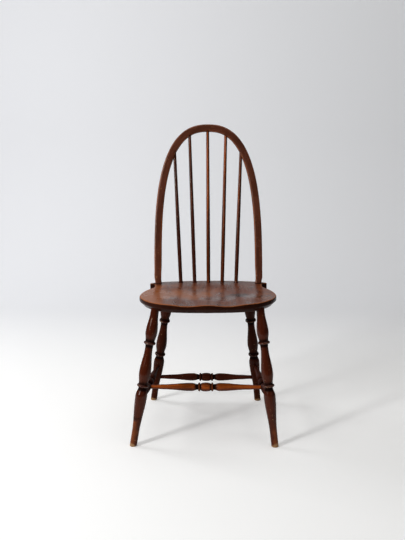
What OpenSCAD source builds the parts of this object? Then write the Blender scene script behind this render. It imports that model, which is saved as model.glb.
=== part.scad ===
// Bow-back Windsor side chair with a saddled plank seat, a bent bow over five
// spindles, four ring-turned legs and four ring-turned stretchers.
// It stands on the floor, z = 0, with the origin under the middle of the chair.
// +Z is up, +X is to the right of someone facing the chair, and the front faces -Y.

/* [Seat] */
// Width of the seat at its widest
seat_w = 418; // [360:1:505]
// Depth of the seat, from the front edge to the back edge
seat_d = 398; // [340:1:480]
// Thickness of the seat plank
seat_t = 26; // [24:1:45]
// Height of the seat's top at its middle
seat_h = 436; // [385:1:525]
// Backward slope of the seat
seat_tilt = 1.1; // [0:0.1:4]
// Distance from the front edge back to the widest part
seat_widest = 146; // [120:1:190]
// How far the lobe at each back corner stands out past the bow
lobe_reach = 14.5; // [8:0.5:24]
// Distance from the back edge forward to the lobes
tail_drop = 50; // [40:1:70]
// How far the cove in front of each lobe cuts in past the lobe's tip
cove_cut = 21; // [12:1:30]
// Rounding of the seat's upper edge
edge_round = 3; // [1:0.5:5]
// Bevel under the front and the sides of the seat
bevel = 13; // [6:1:18]
// Bevel under the back of the seat
tail_bevel = 3; // [1:0.5:5]

/* [Saddle] */
// Depth of the hollow for the sitter
dish_depth = 8; // [3:0.5:12]
// Half width of the hollow
dish_rx = 186; // [150:1:190]
// Half depth of the hollow, front to back
dish_ry = 140; // [110:1:150]
// How low the front edge dips under each thigh
thigh_dip = 4.5; // [1:0.5:8]
// Distance of each thigh dip from the middle of the front edge
thigh_x = 60; // [45:1:80]

/* [Bow] */
// Width of the bow over its outer faces
bow_span = 357; // [297:1:430]
// Height of the bow above the seat, measured along the back's slope
bow_rise = 525; // [420:1:640]
// Squareness of the arch towards the top, where 2 is an ellipse
bow_square_up = 3.25; // [2:0.05:4]
// Squareness of the arch towards the sides, where 2 is an ellipse
bow_square_out = 2.5; // [2:0.05:4]
// Width of the bow's front face
bow_face = 24.5; // [22:0.5:34]
// Thickness of the bow from front to back
bow_depth = 17; // [14.5:0.5:24]
// Rounding of the bow's arrises
bow_arris = 5; // [3:0.5:6.5]
// Width of the bow's front face where it meets the seat
bow_foot = 20; // [17:0.5:22]
// Length over which the bow narrows to its foot
bow_foot_run = 46; // [30:1:80]
// Backward slope of the bow, from square to the seat
bow_rake = 9; // [3:0.5:20]
// Distance from the seat's back edge forward to the bow
bow_setback = 52; // [44:1:64]
// Diameter of the bow's tenons
bow_tenon = 14; // [12:0.5:17]

/* [Wedges] */
// Length of the wedge in each bow tenon
wedge_l = 16; // [10:1:22]
// Width of the wedge
wedge_w = 11; // [8:0.5:11.5]
// Thickness of the wedge at its wide end
wedge_t = 3; // [2:0.5:4]

/* [Spindles] */
// Distance between neighbouring spindles at the seat
spindle_pitch = 46; // [36:1:56]
// How much wider apart the spindles stand in the bow, for each place from the middle
spindle_fan = [0, 14, 18];
// Distance from the seat's back edge forward to the middle spindle
spindle_setback = 25; // [20:1:32]
// Diameter of a spindle in the seat
spindle_foot_d = 12.5; // [10:0.5:16]
// Diameter of a spindle at its swelling
spindle_d = 13; // [11:0.5:18]
// Diameter of a spindle in the bow
spindle_top_d = 10.5; // [8:0.5:11.5]
// Height of the swelling above the seat
spindle_swell = 100; // [60:1:200]
// Depth of a spindle's tenon in the seat
spindle_tenon = 15; // [10:1:16]

/* [Legs] */
// Distance from the seat's side in to each front leg, where the leg enters
front_leg_inset = 54; // [45:1:75]
// Distance from the seat's front edge back to each front leg, where the leg enters
front_leg_setback = 55; // [50:1:80]
// How much further out each front foot stands than the top of its leg
front_splay_out = 58; // [30:1:80]
// How much further forward each front foot stands than the top of its leg
front_splay_forward = 30; // [10:1:60]
// Distance from the side of each lobe in to the rear leg, where the leg enters
rear_leg_inset = 62; // [50:1:80]
// Distance from the seat's back edge forward to each rear leg, where the leg enters
rear_leg_setback = 74; // [66:1:95]
// How much further out each rear foot stands than the top of its leg
rear_splay_out = 51; // [30:1:80]
// How much further back each rear foot stands than the top of its leg
rear_splay_back = 103; // [70:1:120]
// Diameter of a leg at the floor
foot_d = 22; // [18:0.5:30]
// Diameter of the swellings on a leg
bulb_d = 35.5; // [30:0.5:42]
// Diameter of a leg's thinnest necks
neck_d = 23; // [18:0.5:28]
// Diameter of the hollow above each ring
cove_d = 27.5; // [24:0.5:30]
// Diameter of the two rings
ring_d = 36; // [32:0.5:40]
// Thickness of the two rings
ring_w = 8; // [5:0.5:10]
// Distance up the leg from the floor to the lower ring
ring_low = 188; // [180:1:200]
// Distance up the leg from the floor to the upper ring
ring_high = 319; // [300:1:330]
// Diameter of a leg where it enters the seat
leg_top_d = 24.5; // [20:0.5:29.5]
// Depth of a leg's tenon in the seat, along the leg
leg_tenon = 17; // [12:1:19]

/* [Stretchers] */
// Height at which the side stretchers enter the front legs
side_front_h = 135; // [126:1:150]
// Height at which the side stretchers enter the rear legs
side_rear_h = 138; // [128:1:152]
// Height of the rear stretcher on the rear legs
rear_stretcher_h = 91; // [80:1:108]
// Diameter of the two cross stretchers at their middle bead and rings
cross_d = 28.5; // [26:0.5:34]
// Diameter of the side stretchers at their middle bead and rings
side_d = 26; // [23:0.5:31]
// Diameter of the swellings either side of the rings on a cross stretcher
cross_swell_d = 26; // [22:0.5:30]
// Diameter of the swellings either side of the rings on a side stretcher
side_swell_d = 23.5; // [21:0.5:28]
// Diameter of a stretcher at its ends
stretcher_end_d = 13; // [10:0.5:14.5]

/* [Fits] */
// Gap left for glue between a tenon and its socket, all round
glue_gap = 0.15; // [0.1:0.05:0.4]

/* [Stance] */
// How far the loosened joints have let the seat lean to the right of the feet
rack = 10; // [0:1:15]
// How far the seat has settled to one side
seat_roll = 0.4; // [0:0.1:1.5]

/* [Hidden] */
$fn = 48;
LEFT = -1;
RIGHT = 1;

// Steps in each round stretch of a turned outline, of the seat's edge and of the bow
ease_steps = 10;
bead_steps = 8;
edge_steps = 14;
lobe_steps = 5;
bow_steps = 64;
// How far a cutting tool runs past the face that it opens
spare = 12;
// Turns each round piece and socket on its axis, so that its seam lies clear of its cuts
seam_turn = 37;

front_y = -seat_d / 2;
back_y = seat_d / 2;
widest_y = front_y + seat_widest;
tail_x = bow_span / 2 + lobe_reach;
tail_y = back_y - tail_drop;
half_w = seat_w / 2;
cove_x = tail_x - cove_cut;

bow_y = back_y - bow_setback;
bow_half = bow_span / 2 - bow_face / 2;
bow_top = bow_rise - bow_face / 2;
spindle_y = back_y - spindle_setback;
front_top_x = half_w - front_leg_inset;
front_top_y = front_y + front_leg_setback;
rear_top_x = tail_x - rear_leg_inset;
rear_top_y = back_y - rear_leg_setback;
spindle_bow_x = [for (k = [0:2]) k * spindle_pitch + spindle_fan[k]];

// The back of the bow and the front of the seat set the middle of the chair
lean = bow_rake + seat_tilt;
bow_back = bow_y * cos(seat_tilt) + bow_arris
    + (bow_depth / 2 - bow_arris) * cos(lean)
    + (bow_rise - bow_arris) * sin(lean);
seat_front = front_y * cos(seat_tilt) - (seat_t - bevel) * sin(seat_tilt);
middle_y = (bow_back + seat_front) / 2;

// ---- Placing ----

// Turns a point of the seat's frame about X, then about Y, by the angles a and b
function turned(p, a, b) =
    let (y = p.y * cos(a) - p.z * sin(a), z = p.y * sin(a) + p.z * cos(a))
    [p.x * cos(b) + z * sin(b), y, z * cos(b) - p.x * sin(b)];

// A point of the seat's frame, whose origin is on top of the seat at its middle
function on_seat(p) = [rack, -middle_y, seat_h] + turned(p, -seat_tilt, -seat_roll);

// A point on the floor, measured from under the middle of the feet and of the seat
function on_floor(x, y) = [x, y - middle_y, 0];

module in_seat() {
    translate([rack, -middle_y, seat_h])
        rotate([-seat_tilt, -seat_roll, 0])
            children();
}

// Puts its children with their Z axis running from a towards b
module along(a, b) {
    run = b - a;
    translate(a)
        rotate([0, acos(run.z / norm(run)), atan2(run.y, run.x)])
            rotate([0, 0, seam_turn])
                children();
}

// ---- Curves ----

// Eases from 0 to 1 as t goes from 0 to 1, and stays there outside
function smooth(t) = let (c = min(1, max(0, t))) c * c * (3 - 2 * c);

// One cubic curve through its end points, without the last point
function bezier(p, steps) = [
    for (i = [0:steps - 1])
        let (t = i / steps, u = 1 - t)
        u * u * u * p[0] + 3 * u * u * t * p[1] + 3 * u * t * t * p[2] + t * t * t * p[3]
];

// Turned outlines are lists of [radius, distance along the axis].
// Stations are [distance, diameter], and the outline eases from each to the next.
function eased(stations) = [
    for (k = [1:len(stations) - 1])
        for (i = [0:ease_steps])
            let (
                a = stations[k - 1],
                b = stations[k],
                t = i / ease_steps,
                share = (1 - cos(180 * t)) / 2
            )
            if (i > 0 || k == 1)
                [(a[1] + (b[1] - a[1]) * share) / 2, a[0] + (b[0] - a[0]) * t]
];

// A rounded bead of diameter d and thickness w, centred at s, that stands out by rise
function bead(s, d, w, rise) = [
    for (i = [0:bead_steps])
        let (a = -90 + 180 * i / bead_steps)
        [d / 2 - rise + rise * cos(a), s + w / 2 * sin(a)]
];

// A half-round ring of diameter d and thickness w, centred at s
function ring(s, d, w) = bead(s, d, w, w / 2);

// ---- Seat ----

// The right half of the seat's outline, from the middle of the front to the middle of the back
seat_half = concat(
    bezier([[0, front_y], [65, front_y], [half_w - 94, front_y + 3], [half_w - 59, front_y + 29]],
        edge_steps),
    bezier([[half_w - 59, front_y + 29], [half_w - 33, front_y + 49],
        [half_w - 2, widest_y - 51], [half_w, widest_y]], edge_steps),
    bezier([[half_w, widest_y], [half_w, widest_y + 52],
        [cove_x + 23, tail_y - 112], [cove_x + 8, tail_y - 80]], edge_steps),
    bezier([[cove_x + 8, tail_y - 80], [cove_x - 3, tail_y - 56],
        [cove_x + 1, tail_y - 4], [tail_x - 4, tail_y - 1]], edge_steps),
    bezier([[tail_x - 4, tail_y - 1], [tail_x + 1.5, tail_y],
        [tail_x + 1.5, tail_y + 6], [tail_x - 3, tail_y + 10]], lobe_steps),
    bezier([[tail_x - 3, tail_y + 10], [tail_x - 34, tail_y + 38],
        [90, back_y], [0, back_y]], edge_steps)
);
seat_outline = concat(
    seat_half,
    [[0, back_y]],
    [for (i = [len(seat_half) - 1:-1:1]) [-seat_half[i].x, seat_half[i].y]]
);

// Share of the hollow's reach over which its wall slopes
dish_wall = 0.6;
// The thigh dips start this far in front of the seat's middle and are full this far from the edge
thigh_start = 40;
thigh_lead = 20;

// Height of the saddled top at a point, below the flat deck under the spindles
function saddle(p) =
    let (
        hollow = 1 - norm([p.x / dish_rx, p.y / dish_ry]),
        thigh = 1 - abs(abs(p.x) - thigh_x) / thigh_x,
        forward = (-p.y - thigh_start) / (-front_y - thigh_lead - thigh_start)
    )
    -dish_depth * smooth(hollow / dish_wall) - thigh_dip * smooth(thigh) * smooth(forward);

// Where a point of the outline lies once it is drawn in towards the middle by this many millimetres
function drawn_in(p, inset) = p * (1 - inset / half_w);

// The bevel shrinks to the back's over this run, from this far behind the widest part
bevel_start = 40;
bevel_run = 60;
function bevel_at(p) =
    bevel + (tail_bevel - bevel) * smooth((p.y - widest_y - bevel_start) / bevel_run);

// Each ring of the plank's surface is the outline at one step from the crown to the underside
top_shares = [0.12, 0.25, 0.38, 0.5, 0.6, 0.7, 0.78, 0.86, 0.92, 0.96];
top_rings = [
    for (share = top_shares)
        [for (p = seat_outline) let (q = share * p) [q.x, q.y, saddle(q)]]
];
rounded_rings = [
    for (a = [90, 60, 30, 0])
        [
            for (p = seat_outline)
                let (q = drawn_in(p, edge_round * (1 - cos(a))))
                [q.x, q.y, saddle(p) - edge_round * (1 - sin(a))]
        ]
];
lower_rings = [
    [for (p = seat_outline) [p.x, p.y, bevel_at(p) - seat_t]],
    [for (p = seat_outline) let (q = drawn_in(p, bevel_at(p))) [q.x, q.y, -seat_t]]
];
plank_rings = concat(top_rings, rounded_rings, lower_rings);

module plank() {
    count = len(seat_outline);
    last = len(plank_rings) - 1;
    points = concat([for (band = plank_rings) each band], [[0, 0, saddle([0, 0])]]);
    crown = len(points) - 1;
    sides = [
        for (k = [0:last - 1])
            for (i = [0:count - 1])
                let (j = (i + 1) % count)
                each [
                    [k * count + i, k * count + j, (k + 1) * count + i],
                    [k * count + j, (k + 1) * count + j, (k + 1) * count + i]
                ]
    ];
    crown_fan = [for (i = [0:count - 1]) [i, crown, (i + 1) % count]];
    underside = [for (i = [0:count - 1]) last * count + i];
    polyhedron(points = points, faces = concat(sides, crown_fan, [underside]), convexity = 8);
}

module seat() {
    color("saddlebrown")
        difference() {
            in_seat()
                difference() {
                    plank();
                    for (side = [LEFT, RIGHT])
                        bow_foot_frame(side)
                            translate([0, 0, -seat_t - spare])
                                cylinder(h = seat_t + 2 * spare, d = bow_tenon + 2 * glue_gap);
                    for (k = [-2:2])
                        spindle_frame(k)
                            translate([0, 0, -spindle_tenon - glue_gap])
                                cylinder(h = spindle_tenon + spare, d = spindle_foot_d + 2 * glue_gap);
                }
            for (end = LEG_ENDS)
                along(end[1], end[0])
                    translate([0, 0, -leg_tenon - glue_gap])
                        cylinder(h = leg_tenon + spare, d = leg_top_d + 2 * glue_gap);
        }
}

// ---- Bow ----

// Height of the bow's centre line above the seat at a distance x from its middle
function bow_height(x) =
    bow_top * pow(1 - pow(abs(x) / bow_half, bow_square_out), 1 / bow_square_up);

// A point of the seat's frame for x, d and h in the bow's own leaning plane
function on_bow(x, d, h) = [
    x,
    bow_y + d * cos(bow_rake) + h * sin(bow_rake),
    h * cos(bow_rake) - d * sin(bow_rake)
];

// The arch's centre line, from the right foot over the top to the left foot
function arch(a) =
    let (c = cos(a), s = sin(a))
    [bow_half * sign(c) * pow(abs(c), 2 / bow_square_out), bow_top * pow(s, 2 / bow_square_up)];

// The section is a rectangle with rounded arrises: [across the face, front to back]
arris_steps = 3;
function bow_section(face) = [
    for (corner = [0:3])
        for (i = [0:arris_steps])
            let (
                a = 90 * corner + 90 * i / arris_steps,
                sx = (corner == 0 || corner == 3) ? 1 : -1,
                sy = (corner < 2) ? 1 : -1
            )
            [
                sx * (face / 2 - bow_arris) + bow_arris * cos(a),
                sy * (bow_depth / 2 - bow_arris) + bow_arris * sin(a)
            ]
];

// One ring of the bow, at the angle a round the arch. The outer face stays on the arch
// and the inner face draws in near the feet.
function bow_ring(a) =
    let (
        here = arch(a),
        ahead = arch(a + 0.5),
        behind = arch(a - 0.5),
        step = (ahead - behind) / norm(ahead - behind),
        outward = [step.y, -step.x],
        face = bow_face - (bow_face - bow_foot) * (1 - smooth(here.y / bow_foot_run)),
        middle = here + outward * (bow_face - face) / 2
    )
    [
        for (q = bow_section(face))
            let (p = middle + outward * q.x)
            on_bow(p.x, q.y, p.y)
    ];

// The foot's ring lies flat on the seat
function foot_ring(side) = [
    for (q = bow_section(bow_foot))
        on_bow(side * (bow_span / 2 - bow_foot / 2 + q.x), q.y, q.y * tan(bow_rake))
];

bow_first = 2;
bow_rings = concat(
    [foot_ring(RIGHT)],
    [for (k = [0:bow_steps]) bow_ring(bow_first + (180 - 2 * bow_first) * k / bow_steps)],
    [[for (q = foot_ring(RIGHT)) [-q.x, q.y, q.z]]]
);

module arch_rod() {
    count = len(bow_rings[0]);
    last = len(bow_rings) - 1;
    points = [for (band = bow_rings) each band];
    sides = [
        for (k = [0:last - 1])
            for (i = [0:count - 1])
                let (j = (i + 1) % count)
                each [
                    [k * count + i, (k + 1) * count + i, k * count + j],
                    [k * count + j, (k + 1) * count + i, (k + 1) * count + j]
                ]
    ];
    right_end = [for (i = [0:count - 1]) i];
    left_end = [for (i = [count - 1:-1:0]) last * count + i];
    polyhedron(points = points, faces = concat(sides, [right_end, left_end]), convexity = 6);
}

// The middle of the bow's foot on the seat, with Z up the bow's slope
module bow_foot_frame(side) {
    translate([side * (bow_span / 2 - bow_foot / 2), bow_y, 0])
        rotate([-bow_rake, 0, 0])
            children();
}

// How far the bow's tenon runs down its slope to end flush under the seat
bow_tenon_l = seat_t / cos(bow_rake);
// How far the tenon's stock and its saw cut run on before they are trimmed flush
slot_run = 4;
// Thickness of a wedge at its thin end
wedge_tip = 0.6;

// A wedge's outline, point upwards, in the tenon's end and grown by a gap
module wedge_shape(gap) {
    rotate([90, 0, 0])
        linear_extrude(height = wedge_w + 2 * gap, center = true)
            polygon([
                [-wedge_t / 2 - gap, -bow_tenon_l],
                [wedge_t / 2 + gap, -bow_tenon_l],
                [wedge_tip / 2 + gap, wedge_l - bow_tenon_l + gap],
                [-wedge_tip / 2 - gap, wedge_l - bow_tenon_l + gap]
            ]);
}

module under_seat() {
    depth = 3 * spare;
    translate([-seat_w, -seat_d, -seat_t - depth])
        cube([2 * seat_w, 2 * seat_d, depth]);
}

module bow() {
    color("#4b322a")
        in_seat()
            difference() {
                union() {
                    arch_rod();
                    for (side = [LEFT, RIGHT])
                        bow_foot_frame(side)
                            translate([0, 0, -bow_tenon_l - slot_run])
                                cylinder(h = bow_tenon_l + slot_run + spare, d = bow_tenon);
                }
                under_seat();
                for (side = [LEFT, RIGHT])
                    bow_foot_frame(side)
                        wedge_slot();
                for (k = [-2:2])
                    along(spindle_head(k), spindle_foot(k))
                        translate([0, 0, -glue_gap])
                            cylinder(h = socket_run, d = spindle_top_d + 2 * glue_gap);
            }
}

// Length along a spindle over which its socket is cut, which is enough where the bow is steep
socket_run = 3 * bow_face;

// The saw cut that takes a wedge runs out of the tenon's end
module wedge_slot() {
    wedge_shape(glue_gap);
    translate([0, 0, -bow_tenon_l - slot_run])
        linear_extrude(height = slot_run + 0.01)
            square([wedge_t + 2 * glue_gap, wedge_w + 2 * glue_gap], center = true);
}

module bow_wedge(side) {
    color("#7a5a3c")
        in_seat()
            difference() {
                bow_foot_frame(side)
                    wedge_shape(0);
                under_seat();
            }
}

// ---- Spindles ----

// The spindles stand in the seat on a shallow curve through the feet of the bow
function spindle_foot(k) =
    let (x = k * spindle_pitch, bend = (spindle_y - bow_y) * pow(x / bow_half, 2))
    [x, spindle_y - bend, 0];

function spindle_head(k) =
    let (x = sign(k) * spindle_bow_x[abs(k)])
    on_bow(x, 0, bow_height(x));

module spindle_frame(k) {
    along(spindle_foot(k), spindle_head(k))
        children();
}

module spindle(k) {
    length = norm(spindle_head(k) - spindle_foot(k));
    color("#5a2c1e")
        in_seat()
            spindle_frame(k)
                rotate_extrude()
                    polygon(concat(
                        [[0, -spindle_tenon], [spindle_foot_d / 2, -spindle_tenon]],
                        eased([
                            [0, spindle_foot_d],
                            [spindle_swell, spindle_d],
                            [length - bow_face, spindle_top_d]
                        ]),
                        [[spindle_top_d / 2, length], [0, length]]
                    ));
}

// ---- Legs ----

// Each leg's foot on the floor and its top at the seat's underside
function leg_front(side) = [
    on_floor(side * (front_top_x + front_splay_out), front_top_y - front_splay_forward),
    on_seat([side * front_top_x, front_top_y, -seat_t])
];
function leg_rear(side) = [
    on_floor(side * (rear_top_x + rear_splay_out), rear_top_y + rear_splay_back),
    on_seat([side * rear_top_x, rear_top_y, -seat_t])
];
LEG_ENDS = [leg_front(LEFT), leg_front(RIGHT), leg_rear(LEFT), leg_rear(RIGHT)];

// The point on a leg's axis at a height above the floor
function on_leg(ends, h) = ends[0] + (ends[1] - ends[0]) * h / ends[1].z;

// Length of the straight foot, and the stock below it that the floor trims off
foot_straight = 42;
foot_spare = 12;
// Distances from a ring to the fattest part of the swelling below and above it
foot_bulb = 31;
lower_bulb = 38;
upper_bulb = 32;
// Distance from the upper ring down to the thin neck below it
neck_drop = 17;
// How much a neck widens where it meets its ring
neck_flare = 1;
// Length of the straight top of a leg below the seat
top_straight = 8;

module turned_leg(ends) {
    length = norm(ends[1] - ends[0]);
    along(ends[0], ends[1])
        rotate_extrude()
            polygon(concat(
                [[0, -foot_spare], [foot_d / 2, -foot_spare]],
                eased([
                    [foot_straight, foot_d],
                    [ring_low - foot_bulb, bulb_d],
                    [ring_low - ring_w / 2, neck_d + neck_flare]
                ]),
                ring(ring_low, ring_d, ring_w),
                eased([
                    [ring_low + ring_w / 2, cove_d],
                    [ring_low + lower_bulb, bulb_d],
                    [ring_high - neck_drop, neck_d],
                    [ring_high - ring_w / 2, neck_d + neck_flare]
                ]),
                ring(ring_high, ring_d, ring_w),
                eased([
                    [ring_high + ring_w / 2, cove_d],
                    [ring_high + upper_bulb, bulb_d],
                    [length - top_straight, leg_top_d]
                ]),
                [[leg_top_d / 2, length + leg_tenon], [0, length + leg_tenon]]
            ));
}

module below_floor() {
    reach = 2 * seat_w;
    depth = 5 * foot_spare;
    translate([-reach, -reach, -depth])
        cube([2 * reach, 2 * reach, depth]);
}

module leg(ends) {
    color("#3c2018")
        difference() {
            turned_leg(ends);
            below_floor();
            for (pair = STRETCHER_ENDS)
                stretcher_sockets(pair);
        }
}

// ---- Stretchers ----

// Each stretcher runs between two points on the axes of the pieces that hold it
function side_ends(side) = [
    on_leg(leg_front(side), side_front_h),
    on_leg(leg_rear(side), side_rear_h)
];
// Distances from a stretcher's middle to its rings and to its swellings
ring_at = 20.5;
swell_at = 45;

// The front stretcher is let into the front swelling of each side stretcher
function side_joint(side) =
    let (
        ends = side_ends(side),
        forward = (ends[0] - ends[1]) / norm(ends[0] - ends[1])
    )
    (ends[0] + ends[1]) / 2 + swell_at * forward;
front_cross_ends = [side_joint(LEFT), side_joint(RIGHT)];
rear_ends = [
    on_leg(leg_rear(LEFT), rear_stretcher_h),
    on_leg(leg_rear(RIGHT), rear_stretcher_h)
];
// The stretchers that are let into the legs
STRETCHER_ENDS = [side_ends(LEFT), side_ends(RIGHT), rear_ends];

// How far short of the holding piece's axis a tenon stops
tenon_short = 3;
// Thickness of the rings on a stretcher
stretcher_ring_w = 6;
// How much thinner a stretcher is just inside and just outside its rings
inner_cove = 8;
outer_cove = 11;
// Width of the groove between a stretcher's middle bead and each ring
groove_w = 1.5;
// Where a stretcher's taper ends, measured back from its end
taper_start = 50;
taper_end = 22;
// How much thicker a stretcher is where that taper starts
taper_rise = 3;

module stretcher_sockets(ends) {
    for (pair = [ends, [ends[1], ends[0]]])
        along(pair[0], pair[1])
            translate([0, 0, tenon_short - glue_gap])
                cylinder(h = bulb_d, d = stretcher_end_d + 2 * glue_gap);
}

// A stretcher with a bead between two rings at its middle, and a swelling on either side
module turned_stretcher(ends, middle_d, swell_d) {
    length = norm(ends[1] - ends[0]);
    half = length / 2;
    ring_foot = ring_at - stretcher_ring_w / 2;
    middle_bead = bead(0, middle_d, 2 * (ring_foot - groove_w), inner_cove / 2);
    right_half = concat(
        [for (p = middle_bead) if (p[1] >= 0) p],
        [[(middle_d - inner_cove) / 2, ring_foot]],
        ring(ring_at, middle_d, stretcher_ring_w),
        eased([
            [ring_at + stretcher_ring_w / 2, middle_d - outer_cove],
            [swell_at, swell_d],
            [half - taper_start, stretcher_end_d + taper_rise],
            [half - taper_end, stretcher_end_d]
        ]),
        [[stretcher_end_d / 2, half - tenon_short]]
    );
    left_half = [for (i = [len(right_half) - 1:-1:1]) [right_half[i][0], -right_half[i][1]]];
    along((ends[0] + ends[1]) / 2, ends[1])
        rotate_extrude()
            polygon(concat(
                [[0, tenon_short - half]],
                left_half,
                right_half,
                [[0, half - tenon_short]]
            ));
}

module side_stretcher(side) {
    color("#4a281c")
        difference() {
            turned_stretcher(side_ends(side), side_d, side_swell_d);
            stretcher_sockets(front_cross_ends);
        }
}

module cross_stretcher(ends) {
    turned_stretcher(ends, cross_d, cross_swell_d);
}

module front_cross_stretcher() {
    color("#875028")
        cross_stretcher(front_cross_ends);
}

module rear_stretcher() {
    color("#3c1c16")
        cross_stretcher(rear_ends);
}

seat();
bow();
bow_wedge(LEFT);  // bow_wedge_left
bow_wedge(RIGHT);  // bow_wedge_right
spindle(-2);  // spindle_1
spindle(-1);  // spindle_2
spindle(0);  // spindle_3
spindle(1);  // spindle_4
spindle(2);  // spindle_5
leg(leg_front(LEFT));  // leg_front_left
leg(leg_front(RIGHT));  // leg_front_right
leg(leg_rear(LEFT));  // leg_rear_left
leg(leg_rear(RIGHT));  // leg_rear_right
side_stretcher(LEFT);  // side_stretcher_left
side_stretcher(RIGHT);  // side_stretcher_right
front_cross_stretcher();
rear_stretcher();
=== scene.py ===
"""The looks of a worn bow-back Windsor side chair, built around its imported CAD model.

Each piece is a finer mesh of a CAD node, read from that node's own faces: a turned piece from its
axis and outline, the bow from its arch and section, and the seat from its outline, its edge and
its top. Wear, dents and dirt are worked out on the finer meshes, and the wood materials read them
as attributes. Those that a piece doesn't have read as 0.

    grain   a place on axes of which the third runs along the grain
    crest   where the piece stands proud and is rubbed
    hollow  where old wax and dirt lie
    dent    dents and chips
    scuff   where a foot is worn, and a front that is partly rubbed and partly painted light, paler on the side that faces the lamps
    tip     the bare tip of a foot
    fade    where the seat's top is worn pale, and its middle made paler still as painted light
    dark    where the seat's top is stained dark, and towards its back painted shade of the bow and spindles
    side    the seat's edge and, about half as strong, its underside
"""

import itertools
import math
from collections import namedtuple

import bpy
import numpy as np
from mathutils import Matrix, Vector
from mathutils.bvhtree import BVHTree
from mathutils.geometry import delaunay_2d_cdt
from mathutils.kdtree import KDTree


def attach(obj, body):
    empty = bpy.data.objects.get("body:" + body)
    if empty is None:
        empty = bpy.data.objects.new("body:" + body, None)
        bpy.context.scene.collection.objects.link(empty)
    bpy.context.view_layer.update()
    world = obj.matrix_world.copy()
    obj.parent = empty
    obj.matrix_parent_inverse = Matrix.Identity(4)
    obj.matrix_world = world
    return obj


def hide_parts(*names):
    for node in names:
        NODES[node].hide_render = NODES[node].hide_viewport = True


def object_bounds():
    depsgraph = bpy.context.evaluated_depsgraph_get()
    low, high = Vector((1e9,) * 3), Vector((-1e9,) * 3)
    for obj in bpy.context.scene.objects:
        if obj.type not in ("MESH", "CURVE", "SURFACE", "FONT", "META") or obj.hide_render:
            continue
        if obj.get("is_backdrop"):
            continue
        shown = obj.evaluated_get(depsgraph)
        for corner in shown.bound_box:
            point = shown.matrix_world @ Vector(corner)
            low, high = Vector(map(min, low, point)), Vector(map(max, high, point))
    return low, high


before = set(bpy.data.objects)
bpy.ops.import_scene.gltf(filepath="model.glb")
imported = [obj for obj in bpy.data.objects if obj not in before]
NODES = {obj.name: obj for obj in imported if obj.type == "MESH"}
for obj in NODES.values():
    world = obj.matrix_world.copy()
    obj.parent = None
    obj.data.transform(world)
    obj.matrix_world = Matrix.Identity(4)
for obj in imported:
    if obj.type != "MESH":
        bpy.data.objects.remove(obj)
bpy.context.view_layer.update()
MM = 0.001
LEGS = ("leg_front_left", "leg_front_right", "leg_rear_left", "leg_rear_right")
SPINDLES = ("spindle_1", "spindle_2", "spindle_3", "spindle_4", "spindle_5")
SIDE_STRETCHERS = ("side_stretcher_left", "side_stretcher_right")
WEDGES = ("bow_wedge_left", "bow_wedge_right")


# ---- Numbers ----


def unit(v):
    return v / np.linalg.norm(v)


def units(rows):
    return rows / np.linalg.norm(rows, axis=1)[:, None]


def ramp(values, start, end):
    """Eases from 0 at start to 1 at end, and stays there outside."""
    t = np.clip((values - start) / (end - start), 0, 1)
    return t * t * (3 - 2 * t)


def blurred(values, sigma, closed=False):
    """values smoothed along their first axis by a Gaussian of sigma samples."""
    reach = int(3 * sigma) + 1
    kernel = np.exp(-0.5 * (np.arange(-reach, reach + 1) / sigma) ** 2)
    kernel /= kernel.sum()
    edges = [(reach, reach)] + [(0, 0)] * (values.ndim - 1)
    padded = np.pad(values, edges, mode="wrap" if closed else "edge")
    return np.apply_along_axis(lambda row: np.convolve(row, kernel, "valid"), 0, padded)


def mended(values, lost, sigma):
    """Values round a closed line, smoothed, with the lost ones taken from their neighbours."""
    steps = np.arange(len(values))
    lost = lost | np.isnan(values)
    values[lost] = np.interp(steps[lost], steps[~lost], values[~lost], period=len(values))
    return blurred(values, sigma, closed=True)


def evenly_spaced(line, count, closed):
    """count points at equal distances along a line."""
    whole = np.vstack([line, line[:1]]) if closed else line
    reach = np.concatenate([[0], np.cumsum(np.linalg.norm(np.diff(whole, axis=0), axis=1))])
    at = np.linspace(0, reach[-1], count, endpoint=not closed)
    return np.stack([np.interp(at, reach, whole[:, k]) for k in range(whole.shape[1])], 1)


LATTICE = np.random.default_rng(7).random((64, 64, 64))


def noise(points, size, seed=0):
    """Smooth noise from 0 to 1 at each point, with features of this size in metres."""
    p = points / size + 17.3 * seed
    cell = np.floor(p).astype(int)
    share = p - cell
    share = share * share * (3 - 2 * share)
    total = np.zeros(len(points))
    for corner in itertools.product((0, 1), repeat=3):
        weight = np.prod(np.where(corner, share, 1 - share), axis=1)
        total += weight * LATTICE[tuple(((cell + corner) % len(LATTICE)).T)]
    return total


def patches(points, size, share, edge, seed=0):
    """0 to 1, with smooth patches of about this size over about this share of the surface."""
    value = 0.65 * noise(points, size, seed) + 0.35 * noise(points, size / 2.7, seed + 5)
    level = np.quantile(value, 1 - share)
    return ramp(value, level - edge, level + edge)


# ---- Reading the CAD nodes ----


def corners_of(node):
    """The three corners of each face of a CAD node, as an array of faces by 3 by 3."""
    mesh = NODES[node].data
    points = np.empty(len(mesh.vertices) * 3)
    mesh.vertices.foreach_get("co", points)
    faces = np.empty(len(mesh.polygons) * 3, int)
    mesh.polygons.foreach_get("vertices", faces)
    return points.reshape(-1, 3)[faces.reshape(-1, 3)]


def faces_of(node):
    """The centre, normal, area and corners of each face of a CAD node."""
    corners = corners_of(node)
    cross = np.cross(corners[:, 1] - corners[:, 0], corners[:, 2] - corners[:, 0])
    size = np.linalg.norm(cross, axis=1)
    keep = size > 1e-12
    return corners[keep].mean(1), cross[keep] / size[keep, None], size[keep] / 2, corners[keep]


def tree_of(node):
    corners = corners_of(node)
    faces = np.arange(len(corners) * 3).reshape(-1, 3)
    return BVHTree.FromPolygons(corners.reshape(-1, 3).tolist(), faces.tolist())


def hit(tree, start, direction):
    """Where a ray first meets a surface, or None."""
    return tree.ray_cast(Vector(start), Vector(direction))[0]


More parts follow.
